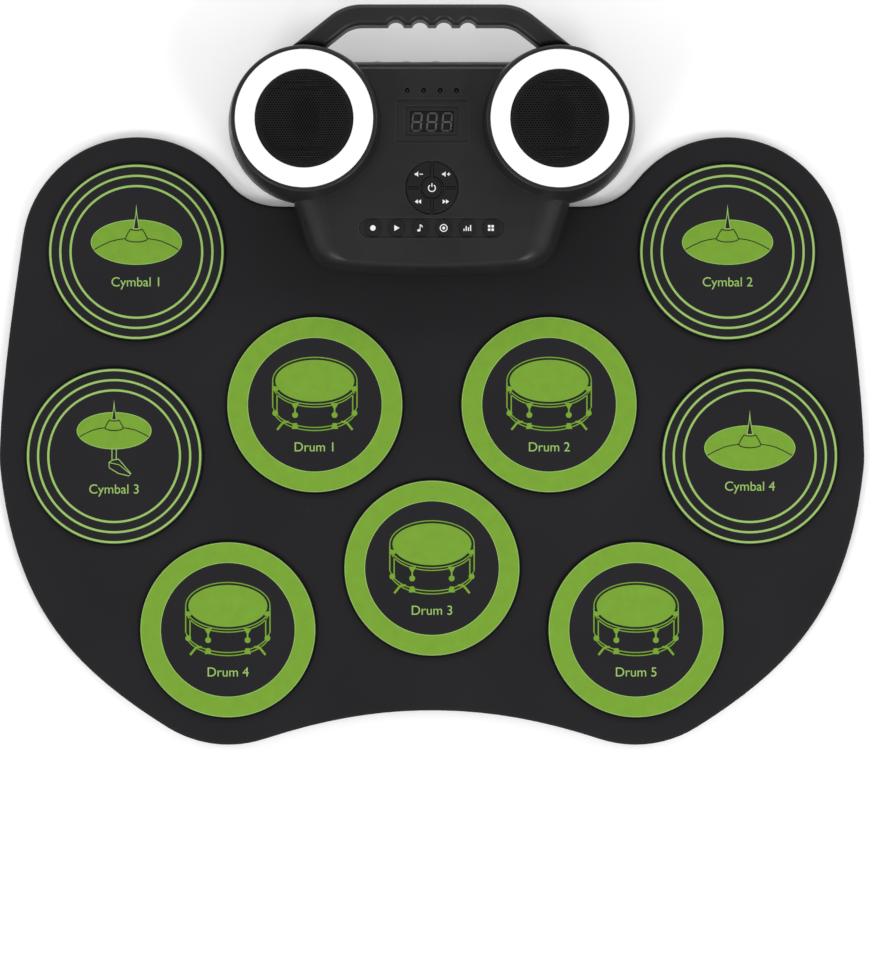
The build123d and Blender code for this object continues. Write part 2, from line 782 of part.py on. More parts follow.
def save_key(label, center, turn, cap_face, flange_face):
    """Key cap with a retaining flange under the panel, turned about its centre."""
    seat = Plane(
        origin=(center[0], center[1], key_bottom),
        x_dir=(cos(radians(turn)), sin(radians(turn)), 0),
        z_dir=(0, 0, 1),
    )
    with BuildPart() as key:
        with BuildSketch(seat):
            add(flange_face)
        extrude(amount=key_flange_top - key_bottom)
        with BuildSketch(seat):
            add(cap_face)
        extrude(amount=key_top - key_bottom)
        fillet(key.edges().group_by(Axis.Z)[-1], 0.5)
    save(key, label)


row_xs = [(i - (len(row_names) - 1) / 2) * row_pitch for i in range(len(row_names))]

save_key(
    "key_power",
    (0, cluster_y),
    0,
    round_face(power_key_radius),
    round_face(power_key_radius + key_flange),
)
for index, label in enumerate(quadrant_names):
    save_key(label, (0, cluster_y), 90 * index, quadrant_face(0), quadrant_face(key_flange))
for label, x in zip(row_names, row_xs):
    save_key(label, (x, row_y), 0, round_face(row_key_radius), round_face(row_key_radius + key_flange))

with BuildPart() as keypad_membrane:
    with BuildSketch(Plane.XY.offset(board_top)):
        with Locations((0, cluster_y)):
            Circle(cluster_recess_radius)
        with Locations((0, (cluster_y + row_y) / 2)):
            Rectangle(20, cluster_y - row_y)
        with Locations((0, row_y)):
            Rectangle(row_xs[-1] - row_xs[0] + 2 * pillar_radius, 10)
    extrude(amount=membrane_top - board_top)
    with BuildSketch(Plane.XY.offset(board_top)):
        with Locations((0, cluster_y)):
            Circle(pillar_radius)
            with PolarLocations((quadrant_outer + quadrant_inner) / 2, 4, start_angle=45):
                Circle(pillar_radius)
        with Locations(*[(x, row_y) for x in row_xs]):
            Circle(pillar_radius)
    extrude(amount=pillar_top - board_top)
save(keypad_membrane, "keypad_membrane")


# ================================================================ electronics

with BuildPart() as control_board:
    with BuildSketch(Plane.XY.offset(board_bottom)):
        for center_y, width, depth in control_board_parts:
            with Locations((0, center_y)):
                Rectangle(width, depth)
        with Locations(*board_screws_at):
            Circle(board_pilot_radius + 0.1, mode=Mode.SUBTRACT)
    extrude(amount=board_top - board_bottom)
save(control_board, "control_board")

with BuildPart() as board_screws:
    for radius, floor, ceiling in (
        (board_screw_head, board_bottom - 1.3, board_bottom),
        (board_screw_shank, board_bottom, board_top + board_screw_length),
    ):
        with BuildSketch(Plane.XY.offset(floor)):
            with Locations(*board_screws_at):
                Circle(radius)
        extrude(amount=ceiling - floor)
save(board_screws, "board_screws")

with BuildPart() as jack_board:
    with BuildSketch(Plane.XY.offset(floor_top)):
        with Locations((0, jack_board_y)):
            Rectangle(jack_board_width, jack_board_depth)
    extrude(amount=jack_board_top - floor_top)
save(jack_board, "jack_board")

for label, x in jacks.items():
    with BuildPart() as jack:
        with BuildSketch(Plane.XZ.offset(-socket_face_y)):
            with Locations((x, (jack_board_top + jack_body_top) / 2)):
                Rectangle(jack_body_width, jack_body_top - jack_board_top)
        extrude(amount=jack_body_depth)
        with BuildSketch(Plane.XZ.offset(-socket_face_y)):
            with Locations((x, jack_z)):
                Circle(jack_nose_radius)
        extrude(amount=socket_face_y - console_back_y - nose_proud)
        with BuildSketch(Plane.XZ.offset(-console_back_y - nose_proud)):
            with Locations((x, jack_z)):
                Circle(jack_bore_radius)
        extrude(amount=jack_bore_length, mode=Mode.SUBTRACT)
    save(jack, label)

with BuildPart() as usb_socket:
    with BuildSketch(Plane.XZ.offset(-console_back_y - 0.2)):
        with Locations((usb_x, jack_z)):
            RectangleRounded(usb_width, usb_height, 0.6)
    extrude(amount=usb_depth)
    with BuildSketch(Plane.XY.offset(jack_board_top)):
        with Locations((usb_x, 204.3)):
            Rectangle(usb_width - 1, 4)
    extrude(amount=jack_z - jack_board_top)
    with BuildSketch(Plane.XZ.offset(-console_back_y - 0.2)):
        with Locations((usb_x, jack_z)):
            RectangleRounded(usb_width - 0.6, usb_height - 0.6, 0.4)
            Rectangle(usb_width - 2.4, 0.7, mode=Mode.SUBTRACT)
    extrude(amount=6.0, mode=Mode.SUBTRACT)
save(usb_socket, "usb_socket")

with BuildPart() as battery_pack:
    with BuildSketch(Plane.XY.offset(floor_top)):
        with Locations((0, battery_y)):
            RectangleRounded(battery_width, battery_depth, 3)
    extrude(amount=battery_height)
    fillet(battery_pack.edges().group_by(Axis.Z)[-1], 1.5)
save(battery_pack, "battery_pack")


# ================================================================ fasteners and feet

with BuildPart() as shell_screws:
    for radius, floor, ceiling in (
        (shell_screw_head, console_bottom + 0.4, floor_top),
        (shell_screw_shank, floor_top, shell_screw_tip_z),
    ):
        with BuildSketch(Plane.XY.offset(floor)):
            with Locations(*both_sides(shell_screws_at)):
                Circle(radius)
        extrude(amount=ceiling - floor)
save(shell_screws, "shell_screws")

with BuildPart() as rubber_feet:
    for radius, floor, ceiling in (
        (foot_radius, 0, console_bottom),
        (foot_neck_radius, console_bottom, floor_top + 0.1),
        (foot_barb_radius, floor_top + 0.1, floor_top + 1.0),
    ):
        with BuildSketch(Plane.XY.offset(floor)):
            with Locations(*both_sides(feet_at)):
                Circle(radius)
        extrude(amount=ceiling - floor)
save(rubber_feet, "rubber_feet")

with BuildPart() as mat_clamp_bar:
    with BuildSketch(Plane.XY.offset(clamp_bar_bottom)):
        with Locations((0, clamp_y)):
            RectangleRounded(clamp_bar_length, clamp_bar_width, 2)
    extrude(amount=clamp_bar_top - clamp_bar_bottom)
    for x in clamp_screws_x:
        with Locations(Plane(origin=(x, clamp_y, clamp_bar_bottom), z_dir=(0, 0, -1))):
            CounterSinkHole(radius=1.2, counter_sink_radius=2.4, depth=3)
save(mat_clamp_bar, "mat_clamp_bar")

with BuildPart() as clamp_screws:
    for x in clamp_screws_x:
        with Locations((x, clamp_y, clamp_bar_bottom + 0.05)):
            Cone(
                clamp_head_radius,
                clamp_shank_radius,
                1.2,
                align=(Align.CENTER, Align.CENTER, Align.MIN),
            )
            Cylinder(clamp_shank_radius, 10.6, align=(Align.CENTER, Align.CENTER, Align.MIN))
save(clamp_screws, "clamp_screws")
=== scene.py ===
"""Looks of the electronic drum pad: silicone mat, printed strike pads and a speaker console.

Everything is in metres in the CAD frame: +X right, +Y away from the player, +Z up.
"""
import json
import math

import bmesh
import bpy
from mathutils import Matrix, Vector, geometry, noise


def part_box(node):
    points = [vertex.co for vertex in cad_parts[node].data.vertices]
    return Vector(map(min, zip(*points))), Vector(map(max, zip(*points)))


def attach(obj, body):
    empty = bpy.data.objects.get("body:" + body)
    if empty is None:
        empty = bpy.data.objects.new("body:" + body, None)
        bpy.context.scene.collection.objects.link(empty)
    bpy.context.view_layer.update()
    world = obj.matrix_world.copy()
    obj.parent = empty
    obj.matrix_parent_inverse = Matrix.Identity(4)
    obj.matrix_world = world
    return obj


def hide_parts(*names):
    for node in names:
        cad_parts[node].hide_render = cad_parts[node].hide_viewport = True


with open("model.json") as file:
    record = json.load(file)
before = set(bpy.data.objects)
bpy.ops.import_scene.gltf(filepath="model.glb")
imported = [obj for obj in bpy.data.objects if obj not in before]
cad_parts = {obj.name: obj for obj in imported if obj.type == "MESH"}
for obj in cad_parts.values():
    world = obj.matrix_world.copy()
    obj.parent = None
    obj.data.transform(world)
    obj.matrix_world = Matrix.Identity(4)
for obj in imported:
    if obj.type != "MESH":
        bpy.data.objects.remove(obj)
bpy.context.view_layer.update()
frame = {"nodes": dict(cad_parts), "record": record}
MM = 0.001
INSIDE_OUTLINE = 1  # kind of triangulation: only what lies inside the outer ring
BASE = "console_and_mat"

# ---------------------------------------------------------------- sizes, in millimetres
PAD_FLANGE = 2.7  # the pad's hidden flange reaches this far past its face
FLANGE_HEIGHT = 0.9
POCKET_GAP = 0.6  # room round the flange inside the mat's skin
SKIN_GAP = 0.25  # open groove between a pad and the mat skin
UNDERSIDE = 1.25  # underside of the mat's skin, above the sensor film
LIP_UNDERSIDE = 4.0  # underside of the lip that holds a pad's flange
DISH_WIDTH = 6.4  # moulded dish round each pad
DISH_DEPTH = 0.5
WAVE_DEPTH = 0.35  # slight waves of the soft sheet between the pads
INK = 0.06  # thickness of the printed ink
INK_STEP = 0.2  # share of INK by which each layer starts above the last
RING_IN, RING_EDGE = 37.3, 0.4  # inner radius of a drum pad's ring, and its light outline
CYMBAL_RINGS = (36.7, 42.4, 48.0)
CYMBAL_LINE = 1.2
CAPTION_SIZE = 7.4
DRUM_CAPTION_Y = -23.8
CYMBAL_CAPTION_Y = -17.0
HIHAT_CAPTION_Y = -18.6
PAD_SHOULDER = 0.6  # radius of the pad's upper edge
SHOULDER_STEPS = 6
MAT_STEP = 2.6  # spacing of points along the mat's outline
MAT_PITCH = 5.0  # spacing of the free points on the mat's skin
RIM_INSET = 3.0  # how far in the skin's underside starts
OPENING_STEPS = 150  # points round each pad's opening
WINDOW_MARGIN = 0.5  # room round the clamp bar
TRIANGLE_ROW = 0.866  # row spacing of a triangular grid, for a pitch of 1
GRILLE_PITCH, GRILLE_HOLE, GRILLE_BORDER = 1.45, 0.45, 1.9  # pitch, hole radius, plain border
GRILLE_EDGE = 0.45  # radius of the rolled edge
GRILLE_EDGE_STEPS = 14
GRILLE_CROWN = 0.5
DIGIT_HEIGHT, DIGIT_WIDTH, DIGIT_PITCH = 9.6, 4.8, 8.3  # between the segments' middle lines
DIGIT_SLANT, SEGMENT_WIDTH, SEGMENT_GAP = 0.09, 0.95, 0.7
EDGE_WEAR = 0.5  # reach of the wear on edges

VIEW_HEIGHT = 537.0  # height of the camera's field on the table
VIEW_CENTER = (1.7, -22.4)
CAMERA_HEIGHT = 1500.0
SENSOR = 36.0
FLOOR_HALF, FLOOR_LEVEL = 3000.0, -0.4

CYMBALS = {"crash_pad_left": 1, "crash_pad_right": 2, "hihat_pad": 3, "ride_pad": 4}
DRUMS = {"high_tom_pad": 1, "low_tom_pad": 2, "bass_pad": 3, "snare_pad": 4, "floor_tom_pad": 5}


# ================================================================ materials


def srgb(red, green, blue):
    """8-bit screen colour as linear RGBA."""
    def channel(value):
        value /= 255
        return value / 12.92 if value <= 0.04045 else ((value + 0.055) / 1.055) ** 2.4

    return (channel(red), channel(green), channel(blue), 1.0)


class Shader:
    """A material's node tree with the few helpers that the surfaces below share."""

    def __init__(self, name):
        self.material = bpy.data.materials.new(name)
        self.material.use_nodes = True
        self.nodes = self.material.node_tree.nodes
        self.links = self.material.node_tree.links
        self.principled = self.nodes["Principled BSDF"]
        self.position = self.nodes.new("ShaderNodeTexCoord").outputs["Object"]

    def set(self, **values):
        for key, value in values.items():
            self.principled.inputs[key.replace("_", " ")].default_value = value

    def link(self, source, target):
        self.links.new(source, target)

    def noise(self, scale, detail=3.0, stretch=(1, 1, 1), distortion=0.0):
        mapping = self.nodes.new("ShaderNodeMapping")
        mapping.inputs["Scale"].default_value = stretch
        self.link(self.position, mapping.inputs["Vector"])
        texture = self.nodes.new("ShaderNodeTexNoise")
        texture.inputs["Scale"].default_value = scale
        texture.inputs["Detail"].default_value = detail
        texture.inputs["Distortion"].default_value = distortion
        self.link(mapping.outputs["Vector"], texture.inputs["Vector"])
        return texture.outputs["Fac"]

    def cells(self, scale):
        texture = self.nodes.new("ShaderNodeTexVoronoi")
        texture.inputs["Scale"].default_value = scale
        self.link(self.position, texture.inputs["Vector"])
        return texture.outputs["Distance"]

    def ramp(self, source, low, high, out_low=0.0, out_high=1.0):
        node = self.nodes.new("ShaderNodeMapRange")
        node.inputs["From Min"].default_value = low
        node.inputs["From Max"].default_value = high
        node.inputs["To Min"].default_value = out_low
        node.inputs["To Max"].default_value = out_high
        self.link(source, node.inputs["Value"])
        return node.outputs["Result"]

    def mix(self, factor, first, second):
        node = self.nodes.new("ShaderNodeMix")
        node.data_type = "RGBA"
        self.link(factor, node.inputs["Factor"])
        for socket, value in ((node.inputs["A"], first), (node.inputs["B"], second)):
            colour_socket = [s for s in node.inputs if s.name == socket.name and s.type == "RGBA"][0]
            if isinstance(value, tuple):
                colour_socket.default_value = value
            else:
                self.link(value, colour_socket)
        return [s for s in node.outputs if s.type == "RGBA"][0]

    def bump(self, height, strength, distance):
        node = self.nodes.new("ShaderNodeBump")
        node.inputs["Strength"].default_value = strength
        node.inputs["Distance"].default_value = distance
        self.link(height, node.inputs["Height"])
        previous = self.principled.inputs["Normal"].links
        if previous:
            self.link(previous[0].from_socket, node.inputs["Normal"])
        self.link(node.outputs["Normal"], self.principled.inputs["Normal"])

    def worn_edges(self, colour, lift):
        """Lightens edges a little, as handling does: a rounded normal differs from the flat one there."""
        rounded = self.nodes.new("ShaderNodeBevel")
        rounded.samples = 4
        rounded.inputs["Radius"].default_value = EDGE_WEAR * MM
        dot = self.nodes.new("ShaderNodeVectorMath")
        dot.operation = "DOT_PRODUCT"
        self.link(rounded.outputs["Normal"], dot.inputs[0])
        self.link(self.nodes.new("ShaderNodeNewGeometry").outputs["Normal"], dot.inputs[1])
        edge = self.ramp(dot.outputs["Value"], 0.985, 0.80, 0.0, lift)
        return self.mix(edge, colour, srgb(120, 120, 120))


def tint(colour, factor):
    return tuple(min(1.0, c * factor) for c in colour[:3]) + (1.0,)


def moulded(name, colour, roughness, grain, depth, mottle=0.14, patch=22, wear=0.0, **values):
    """Moulded polymer: mottled colour, patchy gloss and a fine surface grain."""
    shader = Shader(name)
    blotches = shader.ramp(shader.noise(patch, 4), 0.3, 0.7)
    body = shader.mix(blotches, tint(colour, 1 - mottle), tint(colour, 1 + mottle))
    if wear:
        body = shader.worn_edges(body, wear)
    shader.link(body, shader.principled.inputs["Base Color"])
    gloss = shader.ramp(shader.noise(patch * 4, 3), 0.3, 0.7, roughness - 0.06, roughness + 0.06)
    shader.link(gloss, shader.principled.inputs["Roughness"])
    shader.bump(shader.noise(grain, 2), 0.6, depth)
    shader.set(**values)
    return shader


def silicone(name, colour):
    """Soft matte silicone: powdery bloom, a pebbled grain and a few specks of lint."""
    shader = moulded(name, colour, 0.72, 1500, 0.00006, mottle=0.1, patch=14)
    shader.set(Specular_IOR_Level=0.12)
    shader.bump(shader.noise(90, 3), 0.25, 0.0004)
    body = shader.principled.inputs["Base Color"].links[0].from_socket
    lint = shader.ramp(shader.cells(210), 0.05, 0.03)
    sparse = shader.ramp(shader.noise(60, 1), 0.62, 0.66)
    both = shader.nodes.new("ShaderNodeMath")
    both.operation = "MULTIPLY"
    shader.link(lint, both.inputs[0])
    shader.link(sparse, both.inputs[1])
    speck = shader.ramp(both.outputs["Value"], 0, 1, 0, 0.16)
    shader.link(shader.mix(speck, body, srgb(150, 150, 155)), shader.principled.inputs["Base Color"])
    return shader.material


def metal(name, colour, roughness, stretch=(1, 14, 1), streak=900):
    """Plated or brushed metal with streaks and faint stains."""
    shader = Shader(name)
    streaks = shader.noise(streak, 2, stretch)
    body = shader.mix(shader.ramp(shader.noise(45, 4), 0.35, 0.7), tint(colour, 0.8), colour)
    shader.link(body, shader.principled.inputs["Base Color"])
    shader.link(
        shader.ramp(streaks, 0.3, 0.7, roughness - 0.08, roughness + 0.1),
        shader.principled.inputs["Roughness"],
    )
    shader.bump(streaks, 0.25, 0.00002)
    shader.set(Metallic=1.0)
    return shader.material


def ink(name, colour):
    """Screen-printed ink on silicone: slightly uneven cover and its own satin."""
    shader = Shader(name)
    cover = shader.ramp(shader.noise(160, 5), 0.25, 0.75)
    body = shader.mix(cover, tint(colour, 0.93), tint(colour, 1.05))
    pinholes = shader.ramp(shader.noise(1900, 2), 0.70, 0.76, 0.0, 0.35)
    body = shader.mix(pinholes, body, tint(colour, 0.55))
    shader.link(body, shader.principled.inputs["Base Color"])
    shader.link(
        shader.ramp(shader.noise(70, 3), 0.3, 0.7, 0.50, 0.62), shader.principled.inputs["Roughness"]
    )
    shader.bump(shader.noise(1500, 2), 0.5, 0.00004)
    shader.set(Specular_IOR_Level=0.12)
    return shader.material


def smoked_lens(name):
    """Smoked acrylic window: sees through to the digits, with a soft reflection."""
    shader = Shader(name)
    shader.link(
        shader.mix(shader.noise(120, 2), srgb(20, 20, 22), srgb(30, 30, 32)),
        shader.principled.inputs["Base Color"],
    )
    smudge = shader.ramp(shader.noise(260, 3), 0.35, 0.75, 0.08, 0.22)
    shader.link(smudge, shader.principled.inputs["Roughness"])
    shader.bump(shader.noise(300, 1), 0.1, 0.00002)
    shader.set(Alpha=0.30, Specular_IOR_Level=0.3)
    return shader.material


charcoal = srgb(31, 31, 33)
materials = {
    "silicone_sheet": silicone("silicone_sheet", charcoal),
    "pad_silicone": silicone("pad_silicone", srgb(32, 32, 35)),
    "shell_plastic": moulded(
        "shell_plastic", srgb(33, 33, 34), 0.38, 2300, 0.00005, wear=0.25, Specular_IOR_Level=0.28
    ).material,
    "handle_plastic": moulded(
        "handle_plastic", srgb(33, 33, 34), 0.42, 2300, 0.00006, wear=0.25, Specular_IOR_Level=0.28
    ).material,
    "trim_plastic": moulded(
        "trim_plastic", srgb(252, 252, 252), 0.34, 900, 0.00001, mottle=0.02, patch=30
    ).material,
    "grille_metal": moulded(
        "grille_metal", srgb(20, 20, 21), 0.45, 2600, 0.00005, mottle=0.2, Specular_IOR_Level=0.2
    ).material,
    "basket_steel": moulded("basket_steel", srgb(50, 50, 50), 0.4, 1800, 0.00004, Metallic=0.5).material,
    "magnet_ferrite": moulded("magnet_ferrite", srgb(58, 58, 60), 0.7, 1200, 0.0001, mottle=0.3).material,
    "cone_paper": moulded("cone_paper", srgb(38, 37, 36), 0.85, 700, 0.0002, mottle=0.3, patch=90).material,
    "window_lens": smoked_lens("window_lens"),
    "display_case": moulded("display_case", srgb(14, 14, 15), 0.3, 1500, 0.00002, mottle=0.2).material,
    "lamp_epoxy": moulded("lamp_epoxy", srgb(50, 36, 35), 0.35, 900, 0.00002, mottle=0.2).material,
    "key_rubber": moulded(
        "key_rubber", srgb(20, 20, 21), 0.5, 2100, 0.00005, wear=0.3, Specular_IOR_Level=0.25
    ).material,
    "keypad_rubber": moulded("keypad_rubber", srgb(120, 120, 124), 0.6, 1500, 0.00006).material,
    "board_laminate": moulded(
        "board_laminate", srgb(28, 96, 52), 0.35, 1100, 0.00004, mottle=0.25, patch=160
    ).material,
    "socket_plastic": moulded("socket_plastic", srgb(30, 30, 31), 0.4, 2000, 0.00004).material,
    "socket_steel": metal("socket_steel", srgb(190, 190, 194), 0.3),
    "screw_steel": metal("screw_steel", srgb(176, 177, 180), 0.35, stretch=(1, 1, 1)),
    "bar_steel": metal("bar_steel", srgb(170, 170, 172), 0.38, stretch=(14, 1, 1)),
    "foot_rubber": moulded("foot_rubber", srgb(34, 34, 34), 0.8, 1400, 0.0001, mottle=0.2).material,
    "film_plastic": moulded("film_plastic", srgb(168, 116, 52), 0.3, 600, 0.00003, patch=120).material,
    "foam": moulded("foam", srgb(70, 70, 74), 0.95, 1300, 0.0005, mottle=0.3, patch=900).material,
    "brass_plate": metal("brass_plate", srgb(206, 170, 92), 0.3, stretch=(1, 1, 1)),
    "ceramic_disc": moulded("ceramic_disc", srgb(205, 205, 200), 0.4, 1000, 0.00003).material,
    "battery_wrap": moulded("battery_wrap", srgb(28, 60, 130), 0.25, 260, 0.0002, patch=70).material,
    "lead_insulation": moulded("lead_insulation", srgb(140, 32, 28), 0.45, 900, 0.00005).material,
    "ink_green": ink("ink_green", srgb(115, 158, 50)),
    "ink_light": ink("ink_light", srgb(148, 186, 100)),
    "ink_dark": ink("ink_dark", srgb(36, 38, 36)),
    "ink_white": ink("ink_white", srgb(236, 236, 236)),
    "segment_grey": moulded("segment_grey", srgb(178, 178, 175), 0.4, 900, 0.00002, mottle=0.05).material,
}

for entry in frame["record"]["subparts"]:
    node = frame["nodes"][entry["node"]]
    node.data.materials.clear()
    node.data.materials.append(materials[entry["material_slot"]])


# ================================================================ mesh helpers


def add_piece(name, bm, slots, body, smooth_angle=35):
    """Turns a bmesh into a piece that rides on a body; slots names its materials in order."""
    bmesh.ops.remove_doubles(bm, verts=bm.verts, dist=2e-6)
    bmesh.ops.recalc_face_normals(bm, faces=bm.faces)
    mesh = bpy.data.meshes.new(name)
    for face in bm.faces:
        face.smooth = True
    bm.to_mesh(mesh)
    bm.free()
    mesh.set_sharp_from_angle(angle=math.radians(smooth_angle))
    for slot in slots:
        mesh.materials.append(materials[slot])
    piece = bpy.data.objects.new(name, mesh)
    bpy.context.scene.collection.objects.link(piece)
    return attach(piece, body)


def lathe(bm, center, profile, steps=160, slot=0, closed=False):
    """Spins (radius, height) points, in mm, round the vertical axis through center (m)."""
    rings = []
    for radius, height in profile:
        if radius == 0:
            rings.append([bm.verts.new((center[0], center[1], height * MM))])
            continue
        ring = []
        for i in range(steps):
            angle = 2 * math.pi * i / steps
            ring.append(
                bm.verts.new(
                    (
                        center[0] + radius * MM * math.cos(angle),
                        center[1] + radius * MM * math.sin(angle),
                        height * MM,
                    )
                )
            )
        rings.append(ring)
    pairs = list(zip(rings, rings[1:])) + ([(rings[-1], rings[0])] if closed else [])
    for lower, upper in pairs:
        for i in range(steps):
            j = (i + 1) % steps
            corners = [lower[i % len(lower)], lower[j % len(lower)]]
            corners += [upper[j % len(upper)], upper[i % len(upper)]]
            unique = list(dict.fromkeys(corners))
            if len(unique) > 2:
                bm.faces.new(unique).material_index = slot


def slab(bm, outline, low, high, slot=0):
    """Closed flat solid over an outline of (x, y) points; all in metres."""
    bottom = [bm.verts.new((x, y, low)) for x, y in outline]
    top = [bm.verts.new((x, y, high)) for x, y in outline]
    faces = [bm.faces.new(top), bm.faces.new(list(reversed(bottom)))]
    for i in range(len(outline)):
        j = (i + 1) % len(outline)
        faces.append(bm.faces.new((bottom[i], bottom[j], top[j], top[i])))
    for face in faces:
        face.material_index = slot


def strip(bm, path, width, low, high, slot=0, closed=False):
    """Closed band of a given width along (x, y) points; all in metres."""
    count = len(path)
    sides = []
    for i, (x, y) in enumerate(path):
        before = path[(i - 1) % count] if closed or i else path[0]
        after = path[(i + 1) % count] if closed or i < count - 1 else path[-1]
        along = Vector((after[0] - before[0], after[1] - before[1])).normalized()
        across = Vector((-along.y, along.x)) * width / 2
        corners = []
        for sign, z in ((1, low), (-1, low), (-1, high), (1, high)):
            corners.append(bm.verts.new((x + sign * across.x, y + sign * across.y, z)))
        sides.append(corners)
    spans = range(count if closed else count - 1)
    faces = []
    for i in spans:
        first, second = sides[i], sides[(i + 1) % count]
        for k in range(4):
            m = (k + 1) % 4
            faces.append(bm.faces.new((first[k], first[m], second[m], second[k])))
    if not closed:
        faces.append(bm.faces.new(sides[0]))
        faces.append(bm.faces.new(list(reversed(sides[-1]))))
    for face in faces:
        face.material_index = slot


class Print:
    """Ink drawn on a flat face. Points are in mm from the face's centre; each layer lies on the last."""

    def __init__(self, center, height):
        self.bm = bmesh.new()
        self.center = center
        self.height = height
        self.layer = 0

    def place(self, points):
        return [(self.center[0] + x * MM, self.center[1] + y * MM) for x, y in points]

    def levels(self, layer):
        return self.height + INK_STEP * INK * MM * layer, self.height + INK * MM * (1 + 0.5 * layer)

    def blob(self, points, slot, layer=0):
        slab(self.bm, self.place(points), *self.levels(layer), slot)

    def line(self, points, width, slot, layer=0, closed=False):
        strip(self.bm, self.place(points), width * MM, *self.levels(layer), slot, closed)

    def text(self, words, size, y, slot):
        curve = bpy.data.curves.new("caption", "FONT")
        curve.body = words
        curve.size = size * MM
        curve.align_x = "CENTER"
        curve.align_y = "CENTER"
        curve.extrude = INK * MM / 2
        text = bpy.data.objects.new("caption", curve)
        bpy.context.scene.collection.objects.link(text)
        bpy.context.view_layer.update()
        mesh = text.evaluated_get(bpy.context.evaluated_depsgraph_get()).to_mesh()
        before = len(self.bm.faces)
        start = len(self.bm.verts)
        self.bm.from_mesh(mesh)
        self.bm.verts.ensure_lookup_table()
        self.bm.faces.ensure_lookup_table()
        shift = Vector((self.center[0], self.center[1] + y * MM, self.height + INK * MM / 2))
        for vert in self.bm.verts[start:]:
            vert.co += shift
        for face in self.bm.faces[before:]:
            face.material_index = slot
        bpy.data.objects.remove(text)
        bpy.data.curves.remove(curve)


def ellipse(x, y, rx, ry, start=0, end=360, steps=72):
    """Points round an ellipse, in degrees; a full turn leaves out the repeated last point."""
    full = end - start >= 360
    count = steps if full else steps + 1
    points = []
    for i in range(count):
        angle = math.radians(start + (end - start) * i / steps)
        points.append((x + rx * math.cos(angle), y + ry * math.sin(angle)))
    return points


def node_center(node):
    low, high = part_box(node)
    return (low + high) / 2


# ================================================================ mat


def outer_loop(node, level):
    """The longest closed edge loop of a CAD node's flat face at a given height."""
    mesh = frame["nodes"][node].data
    uses = {}
    place = {}
    for polygon in mesh.polygons:
        points = [mesh.vertices[i].co for i in polygon.vertices]
        if all(abs(p.z - level) < 1e-5 for p in points):
            keys = [(round(p.x * 1e6), round(p.y * 1e6)) for p in points]
            place.update({key: (p.x, p.y) for key, p in zip(keys, points)})
            for first, second in zip(keys, keys[1:] + keys[:1]):
                uses.setdefault(frozenset((first, second)), []).append((first, second))
    following = {}
    for sides in uses.values():
        if len(sides) == 1:
            following[sides[0][0]] = sides[0][1]
    loops = []
    while following:
        start, here = following.popitem()
        loop = [start]
        while here != start:
            loop.append(here)
            here = following.pop(here)
        loops.append([place[key] for key in loop])
    return max(loops, key=lambda loop: max(p[0] for p in loop) - min(p[0] for p in loop))


def resample(loop, spacing):
    """The closed loop walked in equal steps, counter-clockwise."""
    area = sum(a[0] * b[1] - b[0] * a[1] for a, b in zip(loop, loop[1:] + loop[:1]))
    if area < 0:
        loop = loop[::-1]
    lengths = [math.dist(a, b) for a, b in zip(loop, loop[1:] + loop[:1])]
    count = round(sum(lengths) / spacing)
    step = sum(lengths) / count
    points = []
    index, passed = 0, 0.0
    for i in range(count):
        target = i * step
        while passed + lengths[index] < target:
            passed += lengths[index]
            index += 1
        share = (target - passed) / lengths[index]
        a, b = loop[index], loop[(index + 1) % len(loop)]
        points.append((a[0] + (b[0] - a[0]) * share, a[1] + (b[1] - a[1]) * share))
    return points


def inward(loop, distance):
    """The loop moved inward by distance."""
    count = len(loop)
    moved = []
    for i, (x, y) in enumerate(loop):
        a, b = loop[i - 2], loop[(i + 2) % count]
        along = Vector((b[0] - a[0], b[1] - a[1])).normalized()
        moved.append((x - along.y * distance, y + along.x * distance))
    return moved


def ring_points(center, radius, steps):
    return [
        (
            center.x + radius * math.cos(2 * math.pi * i / steps),
            center.y + radius * math.sin(2 * math.pi * i / steps),
        )
        for i in range(steps)
    ]


def bridge(bm, first, second):
    """Quads between two rings of vertices with the same count."""
    count = len(first)
    for i in range(count):
        j = (i + 1) % count
        bm.faces.new((first[i], first[j], second[j], second[i]))


def inside(point, loop):
    x, y = point
    odd = False
    for (ax, ay), (bx, by) in zip(loop, loop[1:] + loop[:1]):
        if (ay > y) != (by > y) and x < (bx - ax) * (y - ay) / (by - ay) + ax:
            odd = not odd
    return odd


pad_names = list(CYMBALS) + list(DRUMS)
pad_centers = {name: node_center(name) for name in pad_names}
pad_low, pad_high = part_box("bass_pad")
pad_radius = (pad_high.x - pad_low.x) / 2 / MM - PAD_FLANGE
pad_top = pad_high.z / MM
mat_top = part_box("mat_top_sheet")[1].z / MM
sheet_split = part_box("mat_top_sheet")[0].z / MM


def mat_height(x, y):
    """Height (m) of the mat's skin: a dish round every pad and the slight waves of soft silicone."""
    height = mat_top
    calm = 1.0
    for center in pad_centers.values():
        reach = (math.hypot(x - center.x, y - center.y) / MM - pad_radius) / DISH_WIDTH
        if reach < 1:
            fall = 0.5 + 0.5 * math.cos(math.pi * max(0.0, reach))
            height -= DISH_DEPTH * fall
            calm -= fall
    wave = 0.5 + 0.5 * noise.noise(Vector((x * 9.0, y * 9.0, 0.4)))
    return (height - WAVE_DEPTH * wave * max(0.0, calm)) * MM


